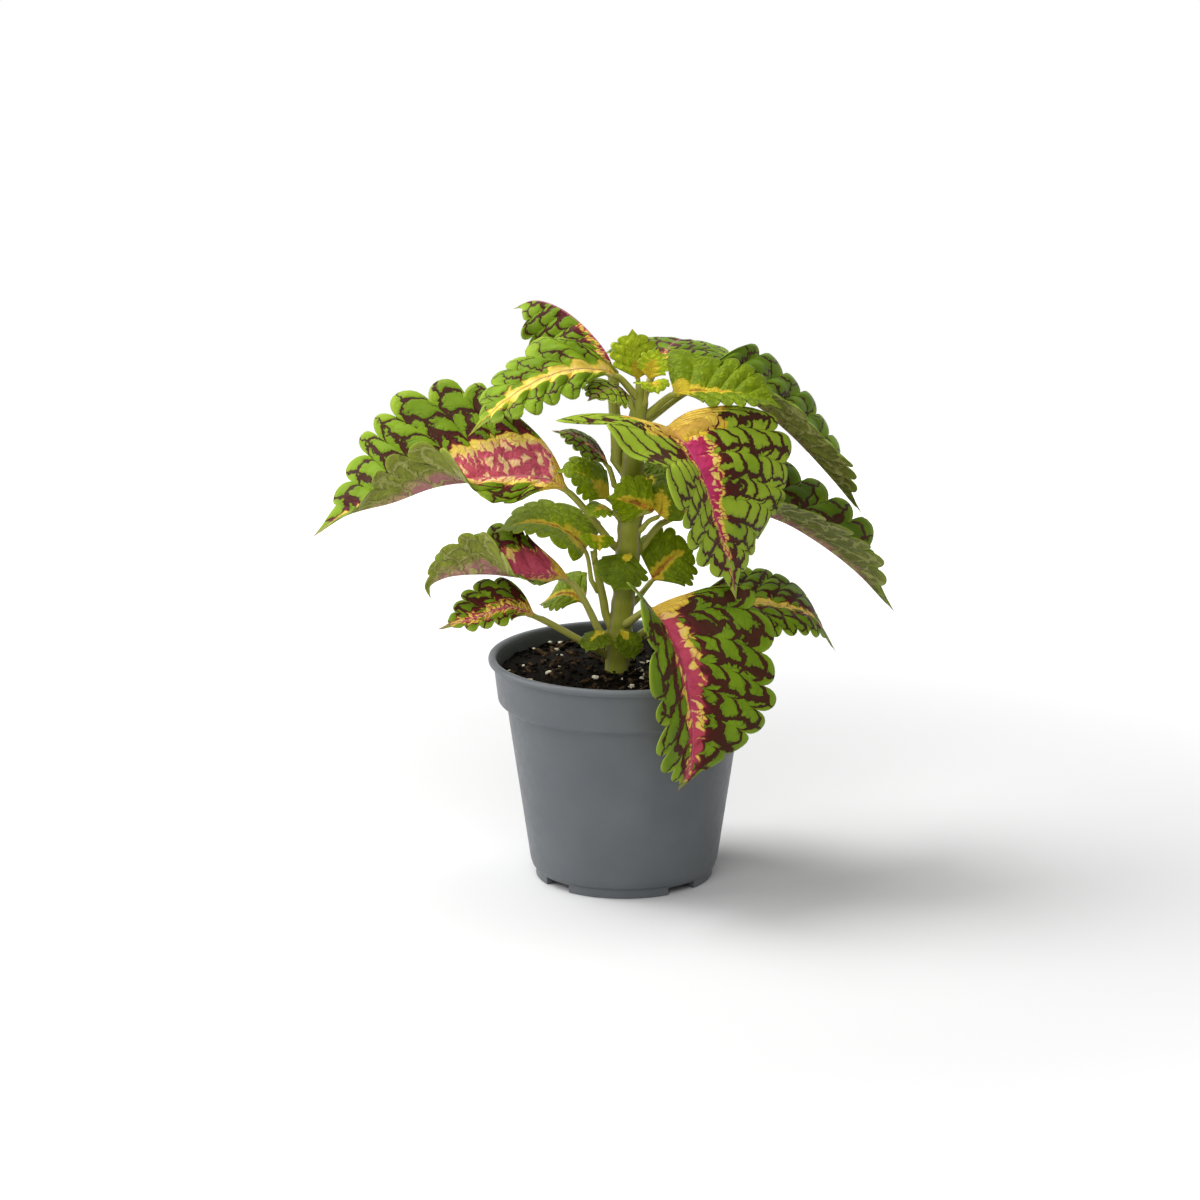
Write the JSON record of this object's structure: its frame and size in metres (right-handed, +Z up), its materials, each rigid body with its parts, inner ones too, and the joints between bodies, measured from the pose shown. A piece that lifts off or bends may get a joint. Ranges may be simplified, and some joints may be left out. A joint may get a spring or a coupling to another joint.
{
  "type": "potted coleus",
  "caption": "Young coleus with green, cream and magenta scalloped leaves in a grey 10.5 cm plastic nursery pot",
  "frame": {"origin": "centre of the footprint of the whole plant (leaves included) on the plane it stands on; the pot's axis is at x +6.2 mm, y +1.1 mm", "axes": "+Z up along the pot's axis, +X to the viewer's right in the front view, -Y towards the front"},
  "size_m": [0.2258, 0.143, 0.2215],
  "materials": {
    "pot_grey_plastic": "satin",
    "soil_peat": "matte",
    "stem_green": "satin",
    "leaf_mature": "satin",
    "leaf_young": "satin"
  },
  "bodies": {
    "root": {"pot": "pot_grey_plastic", "soil": "soil_peat", "main_stem": "stem_green", "side_shoot": "stem_green", "leaf_top_front": "leaf_mature", "leaf_top_left": "leaf_young", "leaf_top_back_left": "leaf_mature", "leaf_top_back_right": "leaf_mature", "leaf_top_right_long": "leaf_mature", "leaf_top_right_young": "leaf_young", "leaf_tip_back": "leaf_young", "leaf_tip_right": "leaf_young", "leaf_tip_front": "leaf_young", "leaf_tip_left": "leaf_young", "leaf_mid_left": "leaf_mature", "leaf_mid_right": "leaf_mature", "leaf_mid_back": "leaf_mature", "leaf_bud_left": "leaf_young", "leaf_bud_front": "leaf_young", "leaf_bud_front_low": "leaf_young", "leaf_bud_back": "leaf_young", "leaf_bud_right": "leaf_young", "leaf_low_left": "leaf_mature", "leaf_shoot_left": "leaf_young", "leaf_shoot_right": "leaf_young", "leaf_base_left": "leaf_mature", "leaf_low_back": "leaf_young", "leaf_base_small": "leaf_young", "leaf_low_right": "leaf_mature", "leaf_low_round": "leaf_young", "leaf_low_front": "leaf_mature", "leaf_low_small": "leaf_young", "leaf_base_front": "leaf_young"}
  },
  "joints": []
}
